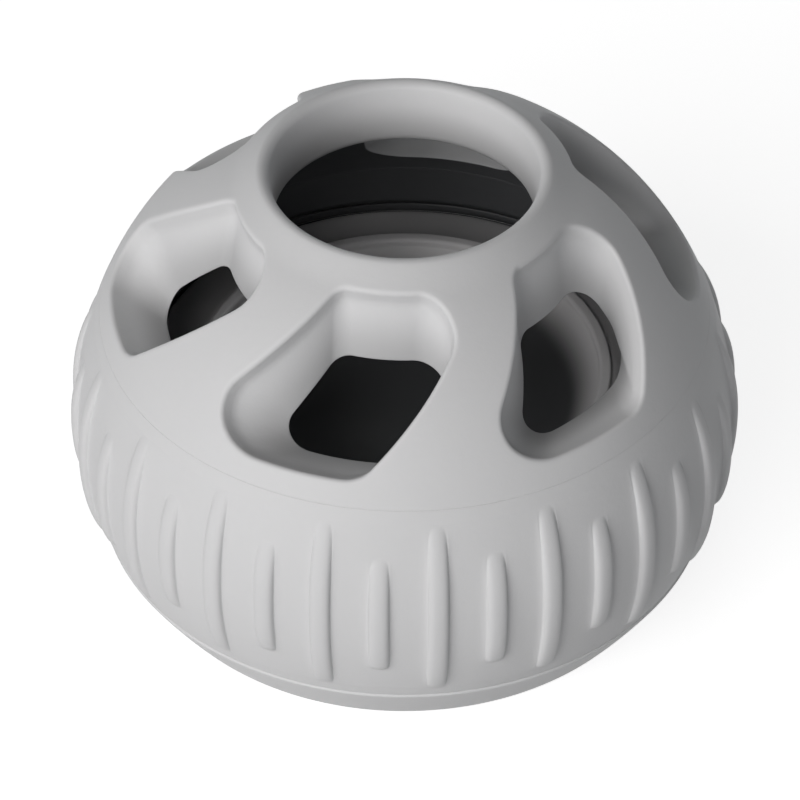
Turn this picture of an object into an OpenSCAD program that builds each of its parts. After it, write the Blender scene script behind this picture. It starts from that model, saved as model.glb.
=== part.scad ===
// Treat dispensing ball: a soft ball in two halves that screw together.
// The upper half is a dome with a mouth and six skewed windows, bonded to a stiff collar.
// The lower half is a ribbed bowl with a stiff collar, a dished treat cup and a foot.
// Millimetres. The origin is the centre of the rest face, and +Z is the ball's axis.
// Angles around the axis are counted from the front, -Y, towards +X.

/* [Ball] */
// Diameter of the ball over its smooth skin
ball_d = 95; // [88:0.5:104]
// Height of the ball's centre above the table
centre_h = 24.3; // [22:0.1:27]
// Thickness of the dome's wall, square to its skin
dome_wall = 8.7; // [8:0.1:10]
// Height of the parting line between the two halves
part_z = 43.3; // [42:0.1:44.5]
// Height of the seam between the bowl and the foot
seam_z = 8.2; // [7:0.1:10]

/* [Mouth] */
// Diameter of the mouth where it opens into the cavity
mouth_d = 37.6; // [30:0.2:40]
// How much the mouth widens in radius from the cavity up to its lip
mouth_flare = 0.8; // [0.4:0.1:1.2]
// Radius of the rounded lip round the mouth
lip_r = 0.7; // [0.5:0.1:1.5]
// How far the lip's crest stands above the ball's skin
lip_proud = 0.6; // [0.2:0.1:1]
// Width of the cone that blends the lip into the skin
lip_blend = 4; // [2:0.5:5]

/* [Windows] */
// Number of windows
window_count = 6; // [4:1:6]
// Direction of the first window's middle
window_turn = -14; // [-30:1:30]
// Width of skin left between the parting line and the windows
window_sill = 3.1; // [2.5:0.1:6]
// Width of skin left between the lip's crest and the windows
window_brow = 4.6; // [4.2:0.1:8]
// Skin left between two windows' top edges, laid off at their middles' latitude
top_bridge = 9.7; // [8:0.1:16]
// Skin left between two windows' bottom edges, laid off at their middles' latitude
low_bridge = 12.7; // [10:0.1:18]
// How far a window's top edge is shifted sideways past its bottom edge, outside
window_skew = 17; // [8:0.1:18]
// Corner radius at a window's top right, outside
top_right_r = 5.7; // [4:0.1:7]
// Corner radius at a window's top left, outside
top_left_r = 3.6; // [2:0.1:5]
// Corner radius at a window's bottom left, outside
low_left_r = 6.3; // [4:0.1:7]
// Corner radius at a window's bottom right, outside
low_right_r = 4.2; // [2:0.1:6]
// Radius of the rolled edge round a window
window_roll = 1.2; // [0.5:0.1:1.6]
// Height of the inner opening's bottom edge above the window's, along the cavity
throat_sill = 0.7; // [0.5:0.1:2]
// Drop of the inner opening's top edge below the window's, along the cavity
throat_brow = 6.6; // [5:0.1:8]
// Wall left between two inner openings' top edges
throat_top_bridge = 13; // [11:0.1:18]
// Wall left between two inner openings' bottom edges
throat_low_bridge = 8.8; // [8.4:0.1:16]
// Sideways shift of the inner opening's top edge past its bottom edge
throat_skew = 3.5; // [2:0.1:6]
// Sideways shift of the inner opening from the window's middle
throat_side = 3.1; // [1:0.1:4]
// Larger corner radius of the inner opening, at its bottom right
throat_round_r = 6.2; // [3:0.1:6.4]
// Corner radius of the inner opening at its top right
throat_top_r = 4.6; // [2:0.1:5]
// Smaller corner radius of the inner opening, at its left
throat_left_r = 3.3; // [1.5:0.1:4]
// How far the cut runs on past the cavity, as a share of the wall
throat_run_out = 0.35; // [0.25:0.05:0.5]

/* [Ribs] */
// Number of long ribs, with a short rib between each two
rib_pairs = 18; // [12:1:20]
// Direction of the first long rib
rib_turn = 5.7; // [0:0.1:20]
// Height of a long rib
long_rib_h = 30.6; // [24:0.2:31]
// Height of a short rib
short_rib_h = 21; // [14:0.2:24]
// Height of the ribs' middles above the table
rib_z = 24.6; // [23.6:0.1:25.6]
// How far the ribs stand proud of the bowl at their middles
rib_proud = 1.2; // [0.8:0.1:1.6]
// Width of a rib's round section
rib_w = 3; // [2:0.1:3.4]
// How far a rib's ends run on under the skin, in degrees of its bow
rib_bury = 1.5; // [1:0.5:3]

/* [Screw joint] */
// Rise of the upper half in one whole turn of the coarse thread
thread_lead = 12; // [10:0.5:14]
// Turns from closed to free
thread_turns = 0.8333; // [0.5:0.0001:0.9]
// Radial space between the two collars, in which the thread stands
thread_space = 1.3; // [1:0.1:1.6]
// Width of the soft land at the bowl's rim
rim_land = 1.6; // [1.4:0.1:2.2]
// Wall of the lower collar
lower_wall = 1.2; // [1:0.1:1.6]
// Wall of the upper collar beside the dome's skirt
upper_wall = 1.4; // [1.2:0.1:1.8]
// Least wall at the upper collar's free end
end_wall = 1; // [0.8:0.1:1.2]
// Thickness of the upper collar's flange
flange_t = 1; // [0.8:0.1:1.4]
// Depth of the dome's skirt inside the collar, below the parting line
skirt_h = 3.7; // [3:0.1:4.5]
// Thickness of the seal ring
seal_t = 1; // [0.8:0.1:1.5]
// Thickness of the lower collar's foot flange
collar_foot_t = 1.4; // [1:0.1:2]
// Free height under the upper collar's end
end_gap = 0.6; // [0.4:0.1:1]

/* [Bowl and foot] */
// Thickness of the bowl's floor above the seam
floor_t = 3.8; // [3:0.1:5]
// Gap all round between the treat cup and the bowl's wall
cup_gap = 1.6; // [1.2:0.1:2]
// Step of the foot's skin out from the bowl's skin
foot_step = 0.4; // [0.2:0.1:0.8]
// Radius of the foot's lower edge
foot_round = 6.5; // [1:0.1:8]
// Space between the cup's wall and the foot's spigot, which plugs the hole in the bowl's floor
spigot_space = 5.2; // [4:0.1:10]
// Height of the spigot above the bowl's floor
spigot_rise = 1.6; // [1:0.1:2.4]

/* [Treat cup] */
// Height of the ledge's outer edge above the table
ledge_z = 30.2; // [29:0.1:30.6]
// Rise of the ledge from its outer edge to the rim
ledge_rise = 0.5; // [0.3:0.1:1]
// Width of the ledge between the cup's edge and the rim's crest
ledge_w = 7.8; // [6:0.1:9]
// Radius of the rim's round bead
bead_r = 1.1; // [0.8:0.1:1.4]
// Height of the rim's crest above the ledge's outer edge
rim_rise = 1.6; // [1.2:0.1:2.4]
// Wall of the cup
cup_wall = 2; // [1.6:0.1:2.4]
// Radius of the ledge's outer corner
ledge_round = 1.2; // [0.6:0.1:1.5]
// Gap between the dish's underside and the foot's spigot
dish_gap = 0.9; // [0.5:0.1:3]
// Thickness of the cup's foot on the bowl's floor
cup_flange_t = 1.6; // [1:0.1:2.4]

/* [Clearances] */
// Bonding gap between pieces of one half
bond_gap = 0.1; // [0.05:0.01:0.15]
// Free gap between the two halves
free_gap = 0.3; // [0.2:0.05:0.4]

/* [Hidden] */

$fn = 96;
soft_grey = [0.80, 0.80, 0.81];
cup_grey = [0.72, 0.72, 0.73];
stiff_grey = [0.24, 0.25, 0.26];
seal_grey = [0.55, 0.56, 0.57];
over = 1;
cut_height = 8;
corner_steps = 5;
corner_share = 0.495;
edge_steps = 3;
lip_facets = 32;

ball_r = ball_d / 2;
cavity_r = ball_r - dome_wall;
mouth_r = mouth_d / 2;

// Radius of a ball of radius r, centred like this one, at the height z
function ball_at(r, z) = sqrt(r * r - (z - centre_h) * (z - centre_h));

// Screw joint, worked inward from the bowl's rim and down from the parting line
rim_r = ball_at(ball_r, part_z);
bore_r = rim_r - rim_land;
lower_collar_r = bore_r - bond_gap;
lower_thread_r = lower_collar_r - lower_wall;
upper_collar_r = lower_thread_r - thread_space;
upper_tube_r = upper_collar_r - upper_wall;
flange_r = bore_r - free_gap;
flange_z = part_z - flange_t;
collar_top_z = flange_z - seal_t;
upper_end_z = collar_top_z - thread_lead * thread_turns - end_gap;
collar_seat_z = upper_end_z - end_gap - collar_foot_t;
skirt_z = part_z - skirt_h;

// Lip, with its outer side blended into the skin by a straight cone
lip_c = mouth_r + mouth_flare + lip_r;
lip_z = centre_h + sqrt(ball_r * ball_r - lip_c * lip_c) + lip_proud - lip_r;
mouth_low_z = centre_h + sqrt(cavity_r * cavity_r - mouth_r * mouth_r);
mouth_lean = mouth_flare / (lip_z - mouth_low_z);
blend_r = lip_c + lip_blend;
blend_z = centre_h + sqrt(ball_r * ball_r - blend_r * blend_r);
blend_turn = atan2(blend_z - lip_z, lip_blend) + acos(lip_r / norm([lip_blend, blend_z - lip_z]));

// Bowl, cup and foot
well_r = cavity_r;
floor_z = seam_z + floor_t;
foot_r = ball_r + foot_step;
foot_flat_r = sqrt(pow(foot_r - foot_round, 2) - pow(centre_h - foot_round, 2));
foot_edge_z = centre_h - (centre_h - foot_round) * foot_r / (foot_r - foot_round);
spigot_z = floor_z + spigot_rise;
cup_r = well_r - cup_gap;
spigot_r = cup_r - cup_wall - spigot_space;
rim_c = cup_r - ledge_w;
crest_z = ledge_z + rim_rise;
bead_z = crest_z - bead_r;
dish_edge_r = rim_c - bead_r;
dish_low_z = spigot_z + dish_gap + cup_wall;
dish_drop = bead_z - dish_low_z;
dish_r = (dish_edge_r * dish_edge_r + dish_drop * dish_drop) / (2 * dish_drop);
dish_z = dish_low_z + dish_r;

// Windows, worked from the latitudes of the parting line and the lip's crest on the skin
window_low = asin((part_z - centre_h) / ball_r) + degrees(window_sill, ball_r);
window_high = acos(lip_c / ball_r) - degrees(window_brow, ball_r);
window_lat = (window_low + window_high) / 2;
throat_low = window_low + degrees(throat_sill, cavity_r);
throat_high = window_high - degrees(throat_brow, cavity_r);

// Angle that a length covers on a circle of radius r
function degrees(length, r) = length / r * 180 / PI;
// Room for one window along the windows' middle latitude, on a ball of radius r
function window_pitch(r) = 2 * PI * r * cos(window_lat) / window_count;
function unit(v) = v / norm(v);

// A point on a ball of radius r, from a length laid off along the windows' middle latitude
// and one laid off up the meridian from there, both on a ball of radius on_r
function ball_point(r, on_r, along, up) =
    let (turn = degrees(along, on_r * cos(window_lat)),
         lat = window_lat + degrees(up, on_r))
    [r * cos(lat) * sin(turn), -r * cos(lat) * cos(turn), centre_h + r * sin(lat)];

// Round corner at b between a and c, counterclockwise, no larger than its sides have room for
function corner(a, b, c, want_r) =
    let (u = unit(a - b),
         v = unit(c - b),
         half = acos(u * v) / 2,
         r = min(want_r, corner_share * min(norm(a - b), norm(c - b)) * tan(half)),
         mid = b + unit(u + v) * r / sin(half),
         start = b + u * r / tan(half) - mid,
         from = atan2(start[1], start[0]),
         turn = 180 - 2 * half)
    [for (i = [0 : corner_steps]) mid + r * [cos(from + turn * i / corner_steps),
                                             sin(from + turn * i / corner_steps)]];

// Points of one side from a to b, without b
function side(a, b) = [for (i = [0 : edge_steps - 1]) a + (b - a) * i / edge_steps];

// Four-sided outline with level top and bottom edges, counterclockwise from its top right,
// grown outwards by the length grow; radii are those of its corners in the same order
function outline(top_w, low_w, skew, low, high, radii, grow = 0) =
    let (h = high - low,
         left_lean = atan2(h, skew + (low_w - top_w) / 2),
         right_lean = atan2(h, skew + (top_w - low_w) / 2),
         left = -grow / sin(left_lean),
         right = grow / sin(right_lean),
         points = [
             [(skew + top_w) / 2 + right + grow / tan(right_lean), high + grow],
             [(skew - top_w) / 2 + left + grow / tan(left_lean), high + grow],
             [(-skew - low_w) / 2 + left - grow / tan(left_lean), low - grow],
             [(-skew + low_w) / 2 + right - grow / tan(right_lean), low - grow],
         ],
         arcs = [for (k = [0 : 3])
             corner(points[(k + 3) % 4], points[k], points[(k + 1) % 4], radii[k] + grow)])
    [for (k = [0 : 3])
        let (arc = arcs[k],
             next = arcs[(k + 1) % 4],
             last = len(arc) - 1)
        for (p = concat([for (i = [0 : last - 1]) arc[i]], side(arc[last], next[0]))) p];

function window_outline(grow) =
    let (half_h = (window_high - window_low) / 2 * PI / 180 * ball_r)
    outline(window_pitch(ball_r) - top_bridge, window_pitch(ball_r) - low_bridge, window_skew,
            -half_h, half_h, [top_right_r, top_left_r, low_left_r, low_right_r], grow);
function throat_outline() =
    outline(window_pitch(cavity_r) - throat_top_bridge,
            window_pitch(cavity_r) - throat_low_bridge,
            throat_skew,
            (throat_low - window_lat) * PI / 180 * cavity_r,
            (throat_high - window_lat) * PI / 180 * cavity_r,
            [throat_top_r, throat_left_r, throat_left_r, throat_round_r]);

// Ring of the window's cut at the depth under the skin, with its outline grown
function skin_ring(depth, grow) =
    [for (p = window_outline(grow)) ball_point(ball_r - depth, ball_r, p[0], p[1])];
function throat_ring() =
    [for (p = throat_outline()) ball_point(cavity_r, cavity_r, p[0] + throat_side, p[1])];

// Rolled edge: the cut widens outwards along a quarter circle, and runs on straight past the skin
roll_start = 25;
roll_steps = 3;
function roll_ring(a) = skin_ring(window_roll * (1 - cos(a)), window_roll * (1 - sin(a)));
flare_grow = window_roll * (1 - sin(roll_start))
    + (over + window_roll * (1 - cos(roll_start))) / tan(roll_start);

// Mean of a list of points
function middle(points) = [for (axis = [0 : 2]) sum([for (p = points) p[axis]]) / len(points)];
function sum(values) = values * [for (v = values) 1];

// Solid through rings of points with equal counts, the first ring outermost
module loft(rings) {
    n = len(rings[0]);
    m = len(rings);
    first_mid = n * m;
    last_mid = n * m + 1;
    walls = [for (k = [0 : m - 2], i = [0 : n - 1], half = [0, 1])
        let (next = (i + 1) % n, top = k * n, low = top + n)
        half == 0 ? [top + i, top + next, low + i] : [top + next, low + next, low + i]];
    first_cap = [for (i = [0 : n - 1]) [(i + 1) % n, i, first_mid]];
    last_cap = [for (i = [0 : n - 1]) [n * (m - 1) + i, n * (m - 1) + (i + 1) % n, last_mid]];
    polyhedron(
        points = concat([for (r = rings) each r], [middle(rings[0]), middle(rings[m - 1])]),
        faces = concat(walls, first_cap, last_cap)
    );
}

module window_cut() {
    edge = roll_ring(90);
    throat = throat_ring();
    inside = [for (i = [0 : len(edge) - 1]) throat[i] + (throat[i] - edge[i]) * throat_run_out];
    rolls = [for (s = [0 : roll_steps]) roll_ring(roll_start + (90 - roll_start) * s / roll_steps)];
    outside = [skin_ring(-cut_height, flare_grow), skin_ring(-over, flare_grow)];
    loft(concat(outside, rolls, [inside]));
}

// Half section of a ball
module ball_half(r) {
    intersection() {
        translate([0, centre_h])
            circle(r);
        translate([0, centre_h - r])
            square([r, 2 * r]);
    }
}

// Rectangle in a half section, from radius r1 to r2 and height z1 to z2
module band(r1, r2, z1, z2) {
    translate([r1, z1])
        square([r2 - r1, z2 - z1]);
}

module dome_section() {
    difference() {
        ball_half(ball_r);
        ball_half(cavity_r);
        band(0, ball_r + over, -ball_r, skirt_z);
        band(upper_tube_r - bond_gap, ball_r + over, -ball_r, part_z);
        polygon([
            [0, centre_h],
            [mouth_r - mouth_lean * (mouth_low_z - centre_h), centre_h],
            [mouth_r + mouth_lean * (lip_z - mouth_low_z), lip_z],
            [0, lip_z],
        ]);
        band(0, lip_c, lip_z, 2 * ball_r);
    }
    translate([lip_c, lip_z])
        circle(lip_r, $fn = lip_facets);
    polygon([
        [lip_c, lip_z],
        [lip_c, blend_z - over],
        [blend_r, blend_z - over],
        [blend_r, blend_z],
        [lip_c + lip_r * cos(blend_turn), lip_z + lip_r * sin(blend_turn)],
    ]);
}

module upper_dome() {
    color(soft_grey)
        difference() {
            rotate_extrude()
                dome_section();
            for (i = [0 : window_count - 1])
                rotate(window_turn + i * 360 / window_count)
                    window_cut();
        }
}

module upper_collar() {
    color(stiff_grey)
        rotate_extrude()
            difference() {
                union() {
                    band(0, upper_collar_r, upper_end_z, part_z);
                    band(0, flange_r, flange_z, part_z);
                }
                band(0, upper_tube_r, skirt_z, part_z + over);
                intersection() {
                    ball_half(cavity_r);
                    band(0, upper_collar_r - end_wall, 0, part_z + over);
                }
            }
}

module seal_ring() {
    color(seal_grey)
        rotate_extrude()
            band(upper_collar_r + free_gap, flange_r, collar_top_z, flange_z);
}

// Rib with a round section, bent in a bow that fades into the skin at both ends
module rib(height) {
    half = height / 2;
    end_r = ball_at(ball_r, centre_h + half);
    top = ball_r + rib_proud;
    bow_c = (top * top - end_r * end_r - half * half) / (2 * (top - end_r));
    bow_r = top - bow_c;
    reach = asin(half / bow_r) + rib_bury;
    translate([0, -bow_c, rib_z])
        rotate([90, 0, -90])
            rotate(-reach)
                rotate_extrude(angle = 2 * reach)
                    translate([bow_r - rib_w / 2, 0])
                        circle(d = rib_w);
}

module lower_bowl() {
    step = 360 / rib_pairs;
    color(soft_grey)
        difference() {
            union() {
                rotate_extrude()
                    intersection() {
                        ball_half(ball_r);
                        band(0, ball_r + over, seam_z, part_z);
                    }
                for (i = [0 : rib_pairs - 1]) {
                    rotate(rib_turn + i * step)
                        rib(long_rib_h);
                    rotate(rib_turn + (i + 0.5) * step)
                        rib(short_rib_h);
                }
            }
            rotate_extrude() {
                band(0, spigot_r + bond_gap, 0, part_z);
                band(0, well_r, floor_z, part_z);
                band(0, bore_r, collar_seat_z, part_z + over);
            }
        }
}

module lower_collar() {
    color(stiff_grey)
        rotate_extrude() {
            band(lower_thread_r, lower_collar_r, collar_seat_z, collar_top_z);
            band(well_r, lower_collar_r, collar_seat_z, collar_seat_z + collar_foot_t);
        }
}

module treat_cup() {
    color(cup_grey)
        rotate_extrude() {
            band(cup_r - cup_wall, cup_r, floor_z, ledge_z - ledge_round);
            band(cup_r - cup_wall, well_r - bond_gap, floor_z, floor_z + cup_flange_t);
            translate([cup_r - ledge_round, ledge_z - ledge_round])
                circle(ledge_round);
            polygon([
                [cup_r - ledge_round, ledge_z],
                [rim_c, ledge_z + ledge_rise],
                [rim_c, ledge_z + ledge_rise - cup_wall],
                [cup_r - cup_wall, ledge_z - cup_wall],
                [cup_r - ledge_round, ledge_z - cup_wall],
            ]);
            translate([rim_c, bead_z])
                circle(bead_r);
            difference() {
                translate([0, dish_z])
                    circle(dish_r + cup_wall);
                translate([0, dish_z])
                    circle(dish_r);
                band(-2 * dish_r, 0, 0, 3 * dish_r);
                band(0, 2 * dish_r, bead_z, 3 * dish_r);
                band(rim_c, 2 * dish_r, 0, 3 * dish_r);
            }
        }
}

module base_foot() {
    color(soft_grey)
        rotate_extrude() {
            intersection() {
                ball_half(foot_r);
                band(0, foot_r, foot_edge_z, seam_z);
            }
            intersection() {
                translate([foot_flat_r, foot_round])
                    circle(foot_round);
                band(0, foot_r, 0, foot_edge_z);
            }
            band(0, foot_flat_r, 0, seam_z);
            band(0, spigot_r, 0, spigot_z);
        }
}

upper_dome();
upper_collar();
seal_ring();
lower_bowl();
lower_collar();
treat_cup();
base_foot();
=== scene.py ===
import math

import bmesh
import bpy
import numpy as np
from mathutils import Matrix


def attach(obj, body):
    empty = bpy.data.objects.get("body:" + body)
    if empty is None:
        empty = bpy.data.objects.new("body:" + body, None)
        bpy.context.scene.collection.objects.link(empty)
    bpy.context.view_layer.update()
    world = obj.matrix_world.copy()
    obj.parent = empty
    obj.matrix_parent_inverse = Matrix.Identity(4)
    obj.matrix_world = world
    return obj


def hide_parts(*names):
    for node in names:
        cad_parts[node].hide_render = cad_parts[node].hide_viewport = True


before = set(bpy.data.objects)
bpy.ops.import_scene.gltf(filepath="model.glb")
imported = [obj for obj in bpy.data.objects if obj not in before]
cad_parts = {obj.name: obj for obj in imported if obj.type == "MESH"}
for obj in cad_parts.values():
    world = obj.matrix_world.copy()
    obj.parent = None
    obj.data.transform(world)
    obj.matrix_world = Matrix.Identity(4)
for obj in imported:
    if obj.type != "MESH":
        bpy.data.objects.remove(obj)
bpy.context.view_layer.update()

mm = 0.001
view = bpy.context.scene.view_settings
view.view_transform = "Standard"

# sizes that several pieces share, in millimetres, as the CAD has them but for the parting
ball = {
    "radius": 47.5,
    "centre": 24.3,      # height of the ball's centre above the table
    "cavity": 38.8,      # radius of the hollow inside
    "parting": 42.6,     # height of the line between the two halves, 0.7 under the CAD's
    "seam": 8.2,         # height of the line between bowl and foot
    "skirt": 39.6,       # lower end of the dome inside the collar
    "bore": 41.93,       # radius of the bowl's bore, which holds the lower collar
}
ballCentre = np.array([0.0, 0.0, ball["centre"]])


class Wire:
    # an output of a node, with arithmetic, and a way to add any other node beside it
    def __init__(self, tree, socket=None):
        self.tree, self.socket = tree, socket

    def add(self, kind, settings=None, sockets=None, out=None):
        made = self.tree.nodes.new(kind)
        for name, value in (settings or {}).items():
            setattr(made, name, value)
        for name, value in (sockets or {}).items():
            entry = next(s for s in made.inputs if name in (s.identifier, s.name))
            if isinstance(value, Wire):
                self.tree.links.new(value.socket, entry)
            else:
                entry.default_value = value
        usable = [s for s in made.outputs if s.enabled]
        if out:
            usable = [s for s in made.outputs if out in (s.identifier, s.name)]
        return Wire(self.tree, usable[0] if usable else None)

    def maths(self, operation, a, b=0.0):
        return self.add("ShaderNodeMath", {"operation": operation}, {"Value": a, "Value_001": b})

    def __add__(self, other):
        return self.maths("ADD", self, other)

    def __radd__(self, other):
        return self.maths("ADD", other, self)

    def __sub__(self, other):
        return self.maths("SUBTRACT", self, other)

    def __rsub__(self, other):
        return self.maths("SUBTRACT", other, self)

    def __mul__(self, other):
        return self.maths("MULTIPLY", self, other)

    def __rmul__(self, other):
        return self.maths("MULTIPLY", other, self)

    def __truediv__(self, other):
        return self.maths("DIVIDE", self, other)

    def __rtruediv__(self, other):
        return self.maths("DIVIDE", other, self)

    def root(self):
        return self.maths("SQRT", self)

    def power(self, other):
        return self.maths("POWER", self, other)

    def most(self, other):
        return self.maths("MAXIMUM", self, other)

    def least(self, other):
        return self.maths("MINIMUM", self, other)


def geometryTree(name, inputs):
    # new Geometry Nodes tree with named inputs; gives back its wires and a place to add nodes
    tree = bpy.data.node_groups.new(name, "GeometryNodeTree")
    tree.interface.new_socket("Geometry", in_out="OUTPUT", socket_type="NodeSocketGeometry")
    for label, kind in {"Geometry": "Geometry", **inputs}.items():
        tree.interface.new_socket(label, in_out="INPUT", socket_type="NodeSocket" + kind)
    entry = tree.nodes.new("NodeGroupInput")
    return Wire(tree), {s.name: Wire(tree, s) for s in entry.outputs if s.name}


weldDistance = 1e-5                     # metres within which points become one
repeatInputs = {"Copies": "Int", "Turn": "Float", "Finish": "Material"}


def repeatAround(start, ports, piece):
    # copies of a piece round the axis, made real, welded, smoothed and given their finish
    points = start.add("GeometryNodePoints", None, {"Count": ports["Copies"]})
    turn = start.add("GeometryNodeInputIndex") * math.tau / ports["Copies"] + ports["Turn"]
    spin = start.add("ShaderNodeCombineXYZ", None, {"Z": turn})
    rotation = start.add("FunctionNodeEulerToRotation", None, {"Euler": spin})
    placed = start.add("GeometryNodeInstanceOnPoints", None,
                       {"Points": points, "Instance": piece, "Rotation": rotation})
    real = start.add("GeometryNodeRealizeInstances", None, {"Geometry": placed})
    welded = start.add("GeometryNodeMergeByDistance", None,
                       {"Geometry": real, "Distance": weldDistance})
    smooth = start.add("GeometryNodeSetShadeSmooth", None, {"Geometry": welded})
    finished = start.add("GeometryNodeSetMaterial", None,
                         {"Geometry": smooth, "Material": ports["Finish"]})
    start.add("NodeGroupOutput", None, {"Geometry": finished})


def growPiece(piece, tree, values):
    # runs a tree on a piece and keeps the result as the piece's plain mesh
    modifier = piece.modifiers.new(tree.name, "NODES")
    modifier.node_group = tree
    for item in tree.interface.items_tree:
        if item.in_out == "INPUT" and item.name in values:
            modifier[item.identifier] = values[item.name]
    graph = bpy.context.evaluated_depsgraph_get()
    grown = bpy.data.meshes.new_from_object(piece.evaluated_get(graph))
    piece.modifiers.remove(modifier)
    piece.data = grown
    grown.name = piece.name
    return piece


def unit(v):
    return v / np.linalg.norm(v, axis=-1, keepdims=True)


def cornerArc(a, b, c, radius, steps, sideShare=0.495):
    # round corner at b between a and c, which takes no more than its share of either side
    a, b, c = (np.array(p, float) for p in (a, b, c))
    u, v = unit(a - b), unit(c - b)
    half = math.acos(np.clip(u @ v, -1, 1)) / 2
    room = sideShare * min(np.linalg.norm(a - b), np.linalg.norm(c - b))
    radius = min(radius, room * math.tan(half))
    middle = b + unit(u + v) * radius / math.sin(half)
    first, last = (b + w * radius / math.tan(half) - middle for w in (u, v))
    start, end = math.atan2(first[1], first[0]), math.atan2(last[1], last[0])
    sweep = (end - start + math.pi) % math.tau - math.pi
    angles = start + sweep * np.linspace(0, 1, steps + 1)
    return middle + radius * np.c_[np.cos(angles), np.sin(angles)]


def roundedSection(corners, closed=True, steps=4, hold=0.3):
    # section from (radius, height, corner radius) rows; long sides get a row close to each end
    points, count = [], len(corners)
    for k, (r, z, radius) in enumerate(corners):
        inside = closed or 0 < k < count - 1
        if radius and inside:
            points.extend(cornerArc(corners[k - 1][:2], (r, z), corners[(k + 1) % count][:2],
                                    radius, steps))
        else:
            points.append(np.array([r, z], float))
    section = []
    for k, p in enumerate(points):
        section.append(p)
        if closed or k < len(points) - 1:
            run = points[(k + 1) % len(points)] - p
            length = np.linalg.norm(run)
            if length > 4 * hold:
                section += [p + run * hold / length, p + run * (1 - hold / length)]
    return np.array(section)


def ballArc(radius, low, high, steps):
    # rows of a ball's section between two heights
    ends = ((z - ball["centre"]) / radius for z in (low, high))
    angles = np.linspace(*map(math.asin, ends), steps + 1)
    return [(radius * math.cos(a), ball["centre"] + radius * math.sin(a), 0) for a in angles]


def pieceFrom(name, points, faces, finish):
    mesh = bpy.data.meshes.new(name)
    mesh.from_pydata((np.asarray(points) * mm).tolist(), [], faces)
    piece = bpy.data.objects.new(name, mesh)
    bpy.context.collection.objects.link(piece)
    mesh.materials.append(finish)
    mesh.shade_smooth()
    return piece


smallestFace = 1e-14                    # square metres under which a face is a leftover


def turnedPiece(name, section, finish, segments=192):
    # solid of revolution from a closed section, with its poles closed and its faces outwards
    angles = np.arange(segments) * math.tau / segments
    rows = len(section)
    points = np.array([[r * math.sin(a), -r * math.cos(a), z] for a in angles for r, z in section])
    faces = []
    for i in range(segments):
        j = (i + 1) % segments
        faces += [(i * rows + k, j * rows + k, j * rows + (k + 1) % rows, i * rows + (k + 1) % rows)
                  for k in range(rows)]
    piece = pieceFrom(name, points, faces, finish)
    work = bmesh.new()
    work.from_mesh(piece.data)
    bmesh.ops.remove_doubles(work, verts=work.verts, dist=weldDistance / 10)
    flat = [f for f in work.faces if f.calc_area() < smallestFace]
    bmesh.ops.delete(work, geom=flat, context="FACES_ONLY")
    bmesh.ops.recalc_face_normals(work, faces=work.faces)
    work.to_mesh(piece.data)
    work.free()
    piece.data.shade_smooth()
    return piece


def settle(piece, body, slotName, *nodes):
    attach(piece, body)
    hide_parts(*nodes)
    print("made", piece.name, len(piece.data.polygons), "faces")


softLook = {"colour": (0.60, 0.60, 0.605), "rough": 0.58, "mottle": 0.035,
            "grain": 0.000025, "grainScale": 1400.0, "gloss": 0.35}
paintedHollowShade = (0.070, 0.072, 0.076)           # painted shade: near-black laid on the hollow's inner skin, where little light reaches
finishes = {
    "domeRubber": {**softLook, "paintedHollowShade": paintedHollowShade, "hollow": (1, 1, 1),
                   # painted shade: share by which windows and mouth darken inwards, and between
                   # which radii
                   "paintedDepthShade": 0.28, "deepFrom": 44.6, "deepTo": 38.9},
    "bowlRubber": {**softLook, "paintedHollowShade": paintedHollowShade, "hollow": (1, 1, 0)},
    "footRubber": softLook,
    "cupPlastic": {"colour": (0.72, 0.71, 0.715), "rough": 0.5,
                   # painted shade on the ledge and in the dish: colour, and the radii it comes in
                   # between
                   "paintedShadeZones": [((0.40, 0.395, 0.40), 29.7, 31.2),
                             ((0.07, 0.072, 0.076), 28.6, 23.8)],
                   "mottle": 0.03, "grain": 0.00001, "grainScale": 1800.0, "gloss": 0.5},
    # painted shade: the collars get the same near-black as the hollow's painted shade
    "collarPlastic": {"colour": (0.07, 0.072, 0.076), "rough": 0.5,
                      "mottle": 0.1, "grain": 0.00001, "grainScale": 1800.0, "gloss": 0.5},
    "sealRubber": {"colour": (0.25, 0.25, 0.26), "rough": 0.7,
                   "mottle": 0.06, "grain": 0.00002, "grainScale": 1600.0, "gloss": 0.3},
}
moulding = {
    "cloudScale": 55.0, "cloudDetail": 3.0, "cloudRoughness": 0.55,
    "speckScale": 900.0, "speckDetail": 2.0, "speckRoughness": 0.6,
    "grainDetail": 2.0, "bump": 0.6,
    "speckShare": 0.6,                      # how much of the mottle the specks get
    "cloudGloss": 0.08, "speckGloss": 0.06,     # how far each changes the roughness
    "hollowShadeFrom": 0.12, "hollowShadeTo": 0.03,     # how far outside the hollow its painted shade begins, and where it is full
}


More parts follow.
